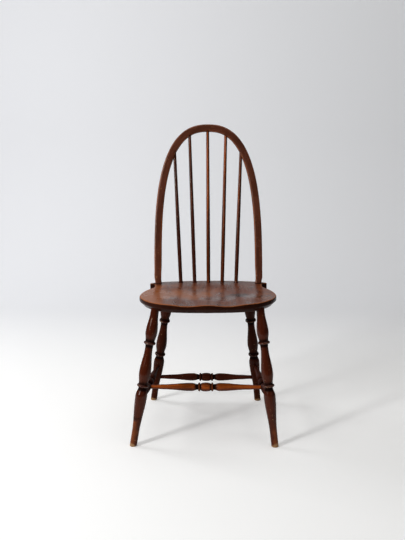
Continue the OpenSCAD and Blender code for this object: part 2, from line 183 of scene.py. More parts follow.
# The axis is fitted once for each of these: faces whose normals miss it by more mm are left out
AXIS_TOLERANCES = (6, 3, 1.5, 1.2, 1.2)
# The outline has a point wherever this many corners or more lie within this length of the axis
RING_CORNERS = 14
RING_LENGTH = 0.25 * MM


def turning_axis(node):
    """The axis of a turned piece, as a point and a direction, the outline's (t, r) along it, and
    where the piece starts and ends.

    The normals of a turned surface all meet its axis, which is found by least squares. Faces
    whose normals miss it belong to sockets, and steep ones to cut ends.
    """
    centre, normal, area, corners = faces_of(node)
    direction = np.linalg.eigh((normal * area[:, None]).T @ normal)[1][:, 0]
    direction = direction * np.sign(direction[np.abs(direction).argmax()])
    point = np.average(centre, axis=0, weights=area)
    for tolerance in AXIS_TOLERANCES:
        u = unit(np.cross(direction, [0.36, 0.48, 0.8]))
        v = np.cross(direction, u)
        away = centre - point
        side = np.cross(normal, direction)
        moment = np.cross(away, normal)
        miss = (side * away).sum(1)
        keep = (np.abs(miss) < tolerance * MM) & (np.abs(normal @ direction) < 0.9)
        weight = np.sqrt(area) * keep
        rows = np.stack([moment @ u, moment @ v, -side @ u, -side @ v], 1)
        step = np.linalg.lstsq(rows * weight[:, None], -miss * weight, rcond=None)[0]
        direction = unit(direction + step[0] * u + step[1] * v)
        point = point + step[2] * u + step[3] * v
    away = corners[keep].reshape(-1, 3) - point
    t = away @ direction
    r = np.linalg.norm(away - t[:, None] * direction, axis=1)
    ring = np.round(t / RING_LENGTH).astype(int)
    outline = [
        (t[ring == k].mean(), np.median(r[ring == k]))
        for k in np.unique(ring)
        if (ring == k).sum() >= RING_CORNERS
    ]
    ends = (corners.reshape(-1, 3) - point) @ direction
    return point, direction, np.array(outline), (ends.min(), ends.max())


SeatFrame = namedtuple("SeatFrame", "origin across back up thickness")


def seat_frame():
    """The seat's own frame: its origin on the deck, its axes across, back and up, and its thickness."""
    _, normal, area, corners = faces_of("seat")
    under = normal[:, 2] < -0.99
    up = -unit((normal[under] * area[under, None]).sum(0))
    across = unit(np.cross([0, 1, 0], up))
    back = np.cross(up, across)
    places = corners.reshape(-1, 3)
    extent = [(places @ axis).min() + (places @ axis).max() for axis in (across, back)]
    top = (places @ up).max()
    origin = extent[0] / 2 * across + extent[1] / 2 * back + top * up
    return SeatFrame(origin, across, back, up, top - (places @ up).min())


SEAT = seat_frame()


def above_deck(points):
    return (points - SEAT.origin) @ SEAT.up


def in_seat(points):
    """Points in the seat's own frame."""
    away = points - SEAT.origin
    return np.stack([away @ SEAT.across, away @ SEAT.back, away @ SEAT.up], 1)


def on_seat(p, height):
    """Places at (x, y) in the seat's own frame, this far above the deck."""
    return SEAT.origin + p[:, :1] * SEAT.across + p[:, 1:2] * SEAT.back + height[:, None] * SEAT.up


def bow_feet(places):
    """These places on the bow's left foot and on its right one, each with their middle."""
    for side in (places[:, 0] < SEAT.origin[0], places[:, 0] > SEAT.origin[0]):
        foot = places[side]
        yield foot, (foot.min(0) + foot.max(0)) / 2


# ---- Making pieces ----


def tube_faces(rings, columns):
    """Quads between rings of points, closed round each ring."""
    ring, column = np.meshgrid(np.arange(rings - 1), np.arange(columns), indexing="ij")
    a = ring * columns + column
    b = ring * columns + (column + 1) % columns
    return np.stack([a, b, b + columns, a + columns], -1).reshape(-1, 4).tolist()


def fan_faces(first, columns, middle, turn):
    """Triangles from the ring that starts at first to the point middle."""
    ring = [(first + k, first + (k + 1) % columns, middle) for k in range(columns)]
    return [face[::turn] for face in ring]


def capped_tube(points, columns):
    """Rings of points with the middles of the two end rings added, and the faces between them."""
    rings = len(points) // columns
    faces = tube_faces(rings, columns)
    faces += fan_faces(0, columns, len(points), -1)
    faces += fan_faces(len(points) - columns, columns, len(points) + 1, 1)
    return np.vstack([points, points[:columns].mean(0), points[-columns:].mean(0)]), faces


def with_caps(values):
    """Values on a tube's rings, and the first and last again for the middles of its ends."""
    return np.concatenate([values, values[[0, -1]]])


def spokes_round(direction, columns):
    """Directions evenly round an axis, and the two square to it that they are made from."""
    u = unit(np.cross(direction, [0.2, 1, 0.1]))
    v = np.cross(direction, u)
    angle = np.linspace(0, 2 * math.pi, columns, endpoint=False)
    return np.cos(angle)[:, None] * u + np.sin(angle)[:, None] * v, u, v


def placed(name, data):
    """A new object in the scene."""
    thing = bpy.data.objects.new(name, data)
    bpy.context.scene.collection.objects.link(thing)
    return thing


def stand_in(node, points, faces, material, attributes, smooth=True):
    """A mesh piece that rides on the chair in a CAD node's place."""
    mesh = bpy.data.meshes.new("worn_" + node)
    mesh.from_pydata(points.tolist(), [], faces)
    mesh.validate()
    mesh.polygons.foreach_set("use_smooth", [smooth] * len(mesh.polygons))
    for key, values in attributes.items():
        kind = "FLOAT" if values.ndim == 1 else "FLOAT_VECTOR"
        layer = mesh.attributes.new(key, kind, "POINT")
        layer.data.foreach_set("value" if kind == "FLOAT" else "vector", values.ravel())
    mesh.materials.append(material)
    piece = placed("worn_" + node, mesh)
    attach(piece, "root")
    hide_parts(node)


# ---- Turned pieces ----

# A ring or swelling is what stands this far or more outside the outline smoothed over this length
BULGE = 1.6 * MM
BULGE_LENGTH = 7 * MM
# Across and along the grain, the size of the streaks in which a front is rubbed and painted paler, and a
# foot worn
FRONT_STREAK = np.array([4, 4, 60]) * MM
FOOT_STREAK = np.array([3, 3, 40]) * MM
# A foot's rings turn level with the floor over this height, and its edge is rounded this much
FOOT_LEVEL = 30 * MM
FOOT_ROUND = 1.6 * MM
FOOT_ROUND_IN = 1.3 * MM


def front_wear_and_light(local, spokes, start, end, rubbed, seed):
    """How much paler a piece's front is made, from the rub's strength, the way it faces and the share
    of it that the piece's lower end has. It is partly the stain rubbed off and partly painted light,
    paler on the side that faces the lamps and towards the piece's upper end."""
    strength, toward, low = rubbed
    facing = ramp(spokes @ np.array(toward), 0.5, 0.97)
    high = low + (1 - low) * ramp((local[:, 2] - start) / (end - start), 0.25, 0.75)
    return strength * high * facing * (0.4 + noise(local / FRONT_STREAK, 1.0, seed + 9))


def foot_wear(points, along, spokes, foot, seed):
    """A foot's worn stain, its bare tip and the line of dirt above the wear, each from 0 to 1."""
    height = points[:, 2]
    outer = spokes @ np.array(foot["lean"])
    streaky = np.stack([points[:, 0], points[:, 1], along], 1) / FOOT_STREAK
    wobble = noise(streaky, 1.0, seed + 7) - 0.5
    cloud = noise(points, 16 * MM, seed + 8) - 0.5
    reach, soft, tip = foot["reach"] * MM, foot["soft"] * MM, foot["tip"] * MM
    edge = height + (12 * wobble + 14 * cloud) * MM * soft / (40 * MM)
    strength = np.clip(foot["share"] + 0.35 * outer + 0.7 * cloud, 0, 1)
    worn = ramp(-edge, -reach, soft - reach) * strength
    bare = ramp((5 * wobble + 4 * outer + 6 * cloud) * MM - height, -tip, -0.35 * tip)
    above = (height - reach - 4 * MM + 4 * wobble * MM) / (4 * MM)
    return worn, bare, foot["dirt"] * np.exp(-(above**2))


def turned_piece(node, material, columns, seed, step=1.2, soften=0.5, grime=2.5, foot=None, rubbed=None):
    """A turned piece with worn rings, small dents and a little out-of-round shrinkage.

    Its rings of points are step mm apart, its outline is eased over soften mm, and the dirt in its
    grooves spreads over grime mm. foot is an entry of FEET, and rubbed is what front_wear_and_light takes.
    """
    point, direction, outline, (start, end) = turning_axis(node)
    spoke, u, v = spokes_round(direction, columns)
    if foot:
        start = -point[2] / direction[2]
    count = int((end - start) / (step * MM)) + 2
    t = np.linspace(start, end, count)
    spacing = (end - start) / (count - 1)
    radius = blurred(np.interp(t, outline[:, 0], outline[:, 1]), soften * MM / spacing)
    bulge = (radius - blurred(radius, BULGE_LENGTH / spacing)) / BULGE
    groove = np.clip(-bulge, 0, 1)
    groove = np.maximum(groove, 0.85 * np.clip(1.6 * blurred(groove, grime * MM / spacing), 0, 1))
    crest = np.repeat(np.clip(bulge, 0, 1), columns)

    along = np.repeat(t, columns)
    reach = np.repeat(radius, columns)
    spokes = np.tile(spoke, (count, 1))
    places = point + along[:, None] * direction + reach[:, None] * spokes
    sag = 0.16 * noise(places, 60 * MM, seed) + 0.10 * noise(places, 14 * MM, seed + 1)
    dents = patches(places, 4 * MM, 0.006, 0.02, seed + 2)
    chips = patches(places, 4 * MM, 0.06, 0.04, seed + 3) * ramp(crest, 0.45, 0.9)
    depth = (sag + 0.35 * dents + 0.55 * chips) * MM
    if foot:
        drop = np.tile(radius[0] * spoke[:, 2] / direction[2], count)
        along = along - drop * (1 - ramp(along, start, start + FOOT_LEVEL))
        near = np.repeat(np.clip(1 - (t - start) / FOOT_ROUND, 0, 1), columns)
        depth = depth + FOOT_ROUND_IN * (1 - np.sqrt(1 - near**2))
    points = point + along[:, None] * direction + (reach - depth)[:, None] * spokes
    if foot:
        points[:columns, 2] = 0
        points[:, 2] = np.maximum(points[:, 2], 0)
    points, faces = capped_tube(points, columns)

    away = points - point
    local = np.stack([away @ u, away @ v, away @ direction], 1)
    spokes = np.vstack([spokes, np.zeros((2, 3))])
    attributes = {
        "grain": local + 0.37 * seed,
        "crest": with_caps(crest),
        "hollow": with_caps(np.repeat(groove, columns)),
        "dent": with_caps(np.maximum(dents, chips)),
    }
    if rubbed:
        scuff = front_wear_and_light(local, spokes, start, end, rubbed, seed)
        attributes["scuff"] = scuff * (1 - attributes["hollow"])
    if foot:
        scuff, tip, dirt = foot_wear(points, local[:, 2], spokes, foot, seed)
        attributes.update(scuff=scuff, tip=tip, hollow=np.maximum(attributes["hollow"], dirt))
    stand_in(node, points, faces, material, attributes)


# ---- Seat ----

# The rim lies this far inside the outline, and the edge is read at these depths below it, in mm
RIM_INSET = 3.4 * MM
EDGE_DROPS = (0.12, 0.45, 0.95, 1.6, 2.3, 3.1, 4.2, 6, 8, 10, 12, 14, 16, 18, 20, 22, 24)
# How hard the first rings below the rim are rubbed
EDGE_CREST = (1.0, 1.0, 0.9, 0.6, 0.3, 0.1)
# Rays at the edge start this far outside it
STAND_OFF = 12 * MM
# The underside's corner is cut off by this much
UNDER_CHAMFER = 1.6 * MM
UNDER_GAP = 1.2 * MM


def seat_level(depth):
    """The longest closed line in which the plane this far below the deck cuts the seat."""
    corners = corners_of("seat")
    height = above_deck(corners) + depth
    links = {}
    for face, level in zip(corners, height):
        ends = []
        for i, j in ((0, 1), (1, 2), (2, 0)):
            if (level[i] > 0) != (level[j] > 0):
                share = level[i] / (level[i] - level[j])
                ends.append(face[i] + share * (face[j] - face[i]))
        if len(ends) == 2:
            keys = [tuple(np.round(end / (0.01 * MM)).astype(int)) for end in ends]
            if keys[0] != keys[1]:
                links.setdefault(keys[0], {})[keys[1]] = ends[1]
                links.setdefault(keys[1], {})[keys[0]] = ends[0]
    loops = []
    while links:
        here = next(iter(links))
        loop, came_from = [], None
        while here in links:
            ahead = [key for key in links[here] if key != came_from]
            if not ahead:
                del links[here]
                break
            loop.append(links[here][ahead[0]])
            del links[here]
            came_from, here = here, ahead[0]
        loops.append(np.array(loop))
    return max(loops, key=lambda loop: np.linalg.norm(np.diff(loop, axis=0), axis=1).sum())


def seat_outline(around):
    """The seat's outline in its own frame, the directions out of it, and where it coves inwards."""
    flat = in_seat(seat_level(0.4 * SEAT.thickness))[:, :2]
    flat = blurred(evenly_spaced(flat, around, True), 1.3, closed=True)
    turn = (flat[:, 0] * np.roll(flat[:, 1], -1) - flat[:, 1] * np.roll(flat[:, 0], -1)).sum()
    if turn < 0:
        flat = flat[::-1]
    ahead = units(np.roll(flat, -1, axis=0) - np.roll(flat, 1, axis=0))
    square = np.stack([ahead[:, 1], -ahead[:, 0]], 1)
    outward = units(blurred(square, 2.0, closed=True))
    bend = (np.roll(ahead, -2, axis=0) * square).sum(1)
    return flat, outward, blurred(np.clip(bend * 8, 0, 1), 5, closed=True)


def rim_heights(tree, rim):
    """The height of the seat's top above the deck at each point of the rim."""
    heights = []
    for start in on_seat(rim, np.full(len(rim), 30 * MM)):
        place = hit(tree, start, -SEAT.up)
        heights.append(np.nan if place is None else above_deck(np.array(place)))
    heights = np.array(heights)
    return mended(heights, heights < -12 * MM, 3)


def edge_rings(tree, flat, outward, rim_height):
    """Rings down the edge, from just below the rim to just above the underside, and their heights."""
    rings, heights = [], []
    for drop in EDGE_DROPS:
        height = np.maximum(rim_height - drop * MM, UNDER_GAP - SEAT.thickness)
        insets = []
        for start, (x, y) in zip(on_seat(flat + STAND_OFF * outward, height), outward):
            place = hit(tree, start, -(x * SEAT.across + y * SEAT.back))
            reach = np.nan if place is None else np.linalg.norm(np.array(place) - start)
            insets.append(reach - STAND_OFF)
        insets = np.array(insets)
        insets = mended(insets, insets > 20 * MM, 2)
        rings.append(flat - insets[:, None] * outward)
        heights.append(height)
    return rings, heights


def height_field(tree, half, cell):
    """The height of the seat's top at any (x, y), read over a grid and smoothed over its sockets."""
    xs = np.arange(-half[0], half[0] + cell, cell)
    ys = np.arange(-half[1], half[1] + cell, cell)
    field = np.full((len(xs), len(ys)), np.nan)
    for i, x in enumerate(xs):
        for j, y in enumerate(ys):
            start = SEAT.origin + x * SEAT.across + y * SEAT.back + 50 * MM * SEAT.up
            place = hit(tree, start, -SEAT.up)
            if place is not None:
                height = above_deck(np.array(place))
                if height > -13 * MM:
                    field[i, j] = height
    known = ~np.isnan(field)
    values = np.where(known, field, 0)
    weight = known.astype(float)
    for sigma in (1.6, 1.6):
        top = blurred(blurred(values * weight, sigma).T, sigma).T
        base = blurred(blurred(weight, sigma).T, sigma).T
        values = top / np.maximum(base, 1e-9)
        weight = (base > 1e-6).astype(float)

    def look_up(p):
        i = np.clip((p[:, 0] - xs[0]) / cell, 0, len(xs) - 1.001)
        j = np.clip((p[:, 1] - ys[0]) / cell, 0, len(ys) - 1.001)
        a, b = i.astype(int), j.astype(int)
        s, t = i - a, j - b
        low = values[a, b] * (1 - s) + values[a + 1, b] * s
        high = values[a, b + 1] * (1 - s) + values[a + 1, b + 1] * s
        return low * (1 - t) + high * t

    return look_up


def flat_tree(line):
    tree = KDTree(len(line))
    for k, p in enumerate(line):
        tree.insert((p[0], p[1], 0), k)
    tree.balance()
    return tree


def nearest_on(line, points):
    """For each point, which point of the line is nearest, and how far away it is."""
    tree = flat_tree(line)
    found = [tree.find((p[0], p[1], 0))[1:] for p in points]
    return np.array([k for k, _ in found]), np.array([reach for _, reach in found])


def filled(outline, spacing):
    """A triangulation inside a closed outline in the plane, with points this far apart."""
    rim = flat_tree(outline)
    xs = np.arange(outline[:, 0].min(), outline[:, 0].max(), spacing)
    ys = np.arange(outline[:, 1].min(), outline[:, 1].max(), spacing * math.sqrt(3) / 2)
    inside = []
    after = np.roll(outline, -1, axis=0)
    for row, y in enumerate(ys):
        crossing = (outline[:, 1] > y) != (after[:, 1] > y)
        a, b = outline[crossing], after[crossing]
        cuts = np.sort(a[:, 0] + (y - a[:, 1]) / (b[:, 1] - a[:, 1]) * (b[:, 0] - a[:, 0]))
        for x in xs + (row % 2) * spacing / 2:
            if np.searchsorted(cuts, x) % 2 and rim.find((x, y, 0))[2] > 0.7 * spacing:
                inside.append((x, y))
    points = np.vstack([outline, inside])
    ring = [(k, (k + 1) % len(outline)) for k in range(len(outline))]
    result = delaunay_2d_cdt([Vector(p) for p in points], ring, [], 1, 1e-7)
    kept, faces, source = result[0], result[2], result[3]
    if len(kept) != len(points):
        raise ValueError("the outline crosses itself")
    order = np.array([ids[0] for ids in source])
    return points, [tuple(order[list(face)]) for face in faces]


def entries(node, depth):
    """Where a spindle, a leg or the bow's feet cross the level this far below the deck, each with
    its radius there."""
    if node == "bow":
        places = corners_of("bow").reshape(-1, 3)
        found = []
        for _, middle in bow_feet(places[np.abs(above_deck(places)) < 3 * MM]):
            found += [(middle + shift * MM * np.array([1, 0, 0]), 9 * MM) for shift in (-3, 3)]
        return found
    point, direction, outline, _ = turning_axis(node)
    t = ((SEAT.origin - depth * SEAT.up - point) @ SEAT.up) / (direction @ SEAT.up)
    return [(point + t * direction, np.interp(t, outline[:, 0], outline[:, 1]))]


def socket_dirt(points, on_top, below):
    """Dirt on the seat round whatever is let into it."""
    sockets = [(node, 0.0, 0.95, 3.5 * MM, on_top) for node in SPINDLES + ("bow",)]
    sockets += [(node, SEAT.thickness, 0.8, 7 * MM, below) for node in LEGS]
    dirt = np.zeros(len(points))
    for node, depth, strength, spread, where in sockets:
        for place, radius in entries(node, depth):
            gap = np.clip(np.linalg.norm(points - place, axis=1) - radius, 0, None)
            dirt = np.maximum(dirt, strength * np.exp(-gap / spread) * where)
    return dirt


def seat_stains(points, x, y):
    """Where the seat's top is worn pale, with its middle made paler still as painted light, and where it
    is stained dark, with painted shade of the bow and spindles towards its back. x and y run from -1
    to 1, to the right and to the back."""
    wobble = noise(points, 30 * MM, 3) - 0.5
    fine = noise(points, 9 * MM, 4) - 0.5
    left_wing = ramp(-x + 0.25 * wobble, 0.38, 0.85) * ramp(y, 0.9, 0.1)
    right_wing = 0.35 * ramp(x + 0.3 * wobble, 0.6, 0.9) * ramp(y, 0.6, 0.0)
    # Worn pale where people sit, and made paler still in the middle as painted light
    worn_and_lit_middle = 0.75 * np.exp(-(((x + 0.2) / 0.5) ** 2 + ((y + 0.05) / 0.5) ** 2))
    fade_and_light = np.clip(left_wing + right_wing + worn_and_lit_middle + 0.5 * wobble + 0.3 * fine, 0, 1)
    spot = ((x - 0.44) / 0.20) ** 2 + ((y + 0.14) / 0.24) ** 2
    blotch = ramp(-spot + 1.3 * wobble + 0.9 * fine, -1.0, 0.1)
    front_stain = 0.5 * ramp(-y - 0.3 * wobble, 0.80, 0.97) * ramp(np.abs(x), 0.75, 0.2)
    # Painted shade of the bow and spindles, darker towards the back of the top
    painted_back_shade = 0.55 * ramp(y + 0.2 * wobble, 0.35, 0.85)
    return fade_and_light, np.clip(blotch + front_stain + painted_back_shade, 0, 1)


def seat_piece(material, around=760, grid=2.7 * MM):
    """The saddled plank, with its top and underside filled with triangles inside their rims."""
    tree = tree_of("seat")
    flat, outward, cove = seat_outline(around)
    rim = flat - RIM_INSET * outward
    rim_height = rim_heights(tree, rim)
    rings, heights = edge_rings(tree, flat, outward, rim_height)
    rings.append(rings[-1] - UNDER_CHAMFER * outward)
    heights.append(np.full(around, -SEAT.thickness))

    # The top takes the smoothed heights, and bends from them to its rim's own
    top, top_faces = filled(rim, grid)
    top_at = height_field(tree, np.abs(flat).max(0) + 5 * MM, 4 * MM)
    nearest, to_rim = nearest_on(rim, top)
    rim_gap = rim_height - top_at(rim)
    top_height = top_at(top) + rim_gap[nearest] * np.exp(-to_rim / (9 * MM))
    under, under_faces = filled(rings[-1], 2 * grid)

    places = [on_seat(top, top_height)]
    places += [on_seat(ring, height) for ring, height in zip(rings, heights)]
    places.append(on_seat(under[around:], np.full(len(under) - around, -SEAT.thickness)))
    points = np.vstack(places)
    first = [len(top) + around * k for k in range(len(rings))]
    faces = [tuple(face) for face in top_faces]
    faces += [(a, first[0] + a, first[0] + (a + 1) % around, (a + 1) % around) for a in range(around)]
    faces += [tuple(first[0] + k for k in face)[::-1] for face in tube_faces(len(rings), around)]
    faces += [tuple(first[-1] + k for k in face)[::-1] for face in under_faces]

    local = in_seat(points)
    on_top = np.arange(len(points)) < len(top)
    below = local[:, 2] < 0.05 * MM - SEAT.thickness
    rim_reach = np.full(len(points), 1.0)
    rim_reach[: len(top)] = to_rim
    crest = 0.85 * np.exp(-rim_reach / (1.6 * MM))
    hollow = np.zeros(len(points))
    for start, rub in itertools.zip_longest(first, EDGE_CREST, fillvalue=0.0):
        crest[start : start + around] = rub
        hollow[start : start + around] = cove
    hollow = np.maximum(hollow, socket_dirt(points, on_top, below))
    half = np.abs(flat).max(0)
    fade_and_light, dark = seat_stains(points, local[:, 0] / half[0], local[:, 1] / half[1])
    dents = patches(points, 7 * MM, 0.008, 0.03, 8) * on_top
    chips = patches(points, 5 * MM, 0.07, 0.03, 9) * ramp(crest, 0.5, 0.9)
    cup = noise(points, 70 * MM, 6) * ramp(rim_reach, 0, 20 * MM) * on_top
    points = points - (0.15 * dents + 0.45 * chips + 0.15 * cup)[:, None] * MM * SEAT.up
    attributes = {
        "grain": local[:, [0, 2, 1]],
        "crest": crest,
        "hollow": hollow,
        "dent": np.maximum(dents, chips),
        "fade_and_light": on_top * fade_and_light,
        "dark": on_top * dark,
        "side": 1.0 - on_top - 0.45 * below,
    }
    stand_in("seat", points, faces, material, attributes)


# ---- Bow ----

BowFrame = namedtuple("BowFrame", "middle across up back")
# Rays for the arch fan out from a point this far below the bow's middle, at these angles in degrees
ARCH_HEART = 50 * MM
ARCH_ANGLES = np.linspace(-64, 244, 616)
# They pass the spindles' sockets this far to either side
BESIDE_SOCKETS = 6 * MM
# The section is read at this share of the bow's length, where no socket cuts it
SECTION_AT = 0.22
# Each foot of the bow runs on into the seat by this much
FOOT_RUN = 7 * MM


def bow_frame():
    """The leaning plane that the bow lies in: its middle, and its directions across, up and back."""
    centre, _, area, _ = faces_of("bow")
    middle = np.average(centre, axis=0, weights=area)
    away = centre - middle
    back = np.linalg.eigh((away * area[:, None]).T @ away)[1][:, 0]
    back = back * np.sign(back[1])
    across = unit(np.cross(back, [0, 0, 1]))
    return BowFrame(middle, across, np.cross(across, back), back)


def arch_of_bow(tree, bow):
    """The bow's centre line and its face's width, as rows of (x, h, width) in its own plane.

    Rays from inside find the inner face either side of the spindles' sockets, and rays from
    outside find the outer face. The arrises' rounding is allowed for by the outer face's own.
    """
    heart = bow.middle - ARCH_HEART * bow.up
    beside = BESIDE_SOCKETS * bow.back
    found = []
    for angle in np.radians(ARCH_ANGLES):
        outward = math.cos(angle) * bow.across + math.sin(angle) * bow.up
        far = heart + 0.7 * outward
        rays = [(far, -outward), (far + beside, -outward)]
        rays += [(heart + beside, outward), (heart - beside, outward)]
        places = [hit(tree, *ray) for ray in rays]
        if None in places:
            continue
        reach = [(np.array(place) - heart) @ outward for place in places]
        rounding = reach[0] - reach[1]
        inner = (reach[2] + reach[3]) / 2 - rounding
        if not 14 * MM < reach[0] - inner < 70 * MM:
            continue
        centre = heart - bow.middle + outward * (reach[0] + inner) / 2
        width = reach[0] - inner
        found.append([centre @ bow.across, centre @ bow.up, width, math.cos(angle), math.sin(angle)])
    found = np.array(found)
    tangent = units(np.gradient(blurred(found[:, :2], 4), axis=0))
    slant = np.abs(found[:, 3] * tangent[:, 1] - found[:, 4] * tangent[:, 0])
    return np.column_stack([found[:, :2], found[:, 2] * slant])


def bow_line(tree, bow, count):
    """The bow's centre line, its width along it and the distance between its points. It has count
    points above the seat, and some more at each foot."""
    arch = arch_of_bow(tree, bow)
    places = bow.middle + arch[:, :1] * bow.across + arch[:, 1:2] * bow.up
    arch = evenly_spaced(arch[above_deck(places) > 1.0 * MM], count, False)
    line = blurred(arch[:, :2], 4)
    line[[0, -1]] = arch[[0, -1], :2]
    width = blurred(np.median([np.roll(arch[:, 2], k) for k in range(-3, 4)], axis=0), 2)
    spacing = np.linalg.norm(np.diff(line, axis=0), axis=1).mean()
    runs = int(FOOT_RUN / spacing) + 1
    ahead = np.arange(runs, 0, -1)[:, None] * spacing
    before = line[0] + ahead * unit(line[0] - line[3])
    after = line[-1] + ahead[::-1] * unit(line[-1] - line[-4])
    width = np.concatenate([np.full(runs, width[3]), width, np.full(runs, width[-4])])
    width[runs : runs + 3] = width[runs + 3]
    width[-runs - 3 : -runs] = width[-runs - 4]
    return np.vstack([before, line, after]), width, spacing


def bow_section(tree, bow, centre, normal, columns):
    """The bow's section, as offsets along normal and back from its centre, in even steps."""
    ring = []
    for angle in np.linspace(0, 2 * math.pi, 240, endpoint=False):
        spoke = math.cos(angle) * normal + math.sin(angle) * bow.back
        reach = np.array(hit(tree, centre, spoke)) - centre
        ring.append([reach @ normal, reach @ bow.back])
    return blurred(evenly_spaced(np.array(ring), columns, True), 0.45, closed=True)


def tenon_ends(columns=36):
    """The ends of the bow's two tenons, just proud of the seat's underside, each as points,
    faces and how far each point belongs to its dark rim."""
    # Rings from inside the tenon to its middle: share of the radius, height in mm and dirt
    profile = ((1, 2.0, 1), (1, -0.2, 0.9), (0.95, -0.45, 0.4), (0.6, -0.6, 0), (0.2, -0.5, 0))
    places = corners_of("bow").reshape(-1, 3)
    ends = []
    for foot, middle in bow_feet(places[above_deck(places) < 0.5 * MM - SEAT.thickness]):
        middle = middle - (above_deck(middle) + SEAT.thickness) * SEAT.up
        radius = np.linalg.norm(foot - middle, axis=1).max()
        spoke, _, _ = spokes_round(SEAT.up, columns)
        rings = [middle + share * radius * spoke + rise * MM * SEAT.up for share, rise, _ in profile]
        points = np.vstack(rings + [rings[-1].mean(0)])
        faces = [face[::-1] for face in tube_faces(len(rings), columns)]
        faces += fan_faces((len(rings) - 1) * columns, columns, len(points) - 1, -1)
        rim = np.repeat([float(dirt) for _, _, dirt in profile], columns)
        ends.append((points, faces, np.append(rim, 0.0)))
    return ends


def bow_piece(material, columns=44, count=560, seed=31):
    """The bent bow, swept from its arch and section as the CAD solid has them."""
    bow = bow_frame()
    tree = tree_of("bow")
    line, width, spacing = bow_line(tree, bow, count)
    rings = len(line)
    tangent = units(np.gradient(line, axis=0))
    outs = tangent[:, 1, None] * bow.across - tangent[:, 0, None] * bow.up
    spine = bow.middle + line[:, :1] * bow.across + line[:, 1:2] * bow.up
    at = int(SECTION_AT * rings)
    section = bow_section(tree, bow, spine[at], outs[at], columns)
    edge = units(np.roll(section, -1, axis=0) - np.roll(section, 1, axis=0))
    corner = ramp(2 * np.abs(edge[:, 0] * edge[:, 1]), 0.25, 0.85)

    wide = section[None, :, :1] / width[at] * width[:, None, None]
    offsets = (wide * outs[:, None, :] + section[None, :, 1:2] * bow.back).reshape(-1, 3)
    places = np.repeat(spine, columns, axis=0) + offsets
    crest = np.tile(corner, rings)
    dents = patches(places, 8 * MM, 0.004, 0.03, seed)
    chips = patches(places, 5 * MM, 0.08, 0.04, seed + 1) * ramp(crest, 0.5, 0.9)
    sag = 0.14 * noise(places, 40 * MM, seed + 2) + 0.10 * noise(places, 12 * MM, seed + 3)
    depth = (sag + 0.3 * dents + 0.5 * chips) * MM
    points, faces = capped_tube(places - units(offsets) * depth[:, None], columns)

    run = np.repeat(np.arange(rings) * spacing, columns)
    grain = with_caps(np.column_stack([np.tile(section, (rings, 1)), run]))
    above = above_deck(points)
    hollow = 0.9 * np.exp(-np.clip(above, 0, None) / (3 * MM))
    for node in SPINDLES:
        point, direction, _, ends = turning_axis(node)
        head = point + (ends[1] - 12 * MM) * direction
        gap = np.clip(np.linalg.norm(points - head, axis=1) - 7 * MM, 0, None)
        hollow = np.maximum(hollow, 0.9 * np.exp(-gap / (2.5 * MM)))

    # The arrises are worn thin-lined all round, and most on the inside of the lower left upright
    inner = with_caps(np.tile(ramp(-section[:, 0] / width[at], 0.2, 0.5), rings))
    front = with_caps(np.tile(ramp(-section[:, 1], 0.0, 3 * MM), rings))
    low = ramp(-above, -0.30, -0.16) * ramp(above, 16 * MM, 30 * MM)
    left = ramp(-points[:, 0], 0.0, 20 * MM)
    crest = with_caps(crest) * (0.62 + (0.25 + 0.55 * left) * inner * low * front)
    dent = with_caps(np.maximum(dents, chips))

    for end_points, end_faces, rim in tenon_ends():
        faces += [tuple(len(points) + k for k in face) for face in end_faces]
        points = np.vstack([points, end_points])
        grain = np.vstack([grain, end_points])
        crest = np.concatenate([crest, 0.5 * (1 - rim)])
        hollow = np.concatenate([hollow, rim])
        dent = np.concatenate([dent, 0 * rim])
    attributes = {"grain": grain + 3.1, "crest": crest, "hollow": hollow, "dent": dent}
    stand_in("bow", points, faces, material, attributes)


def wedge_piece(node, material):
    """A wedge in the end of a tenon, whose foot stands a little further out than the tenon's."""
    corners = corners_of(node).reshape(-1, 3)
    keys, faces = np.unique(np.round(corners / (0.01 * MM)).astype(int), axis=0, return_inverse=True)
    points = keys * 0.01 * MM
    foot = above_deck(points) < 0.1 * MM - SEAT.thickness
    uneven = 0.9 + 0.25 * noise(points, 4 * MM, 61)
    points = points - (foot * uneven * MM)[:, None] * SEAT.up
    faces = [tuple(face) for face in faces.reshape(-1, 3).tolist() if len(set(face)) == 3]
    attributes = {"grain": in_seat(points) + 1.7, "crest": 0.4 * foot}
    stand_in(node, points, faces, material, attributes, smooth=False)


# ---- Materials ----


def linear(*rgb):
    """A linear colour from 0 to 255 display values."""
    shares = [c / 255 for c in rgb]
    return [s / 12.92 if s <= 0.04045 else ((s + 0.055) / 1.055) ** 2.4 for s in shares] + [1]


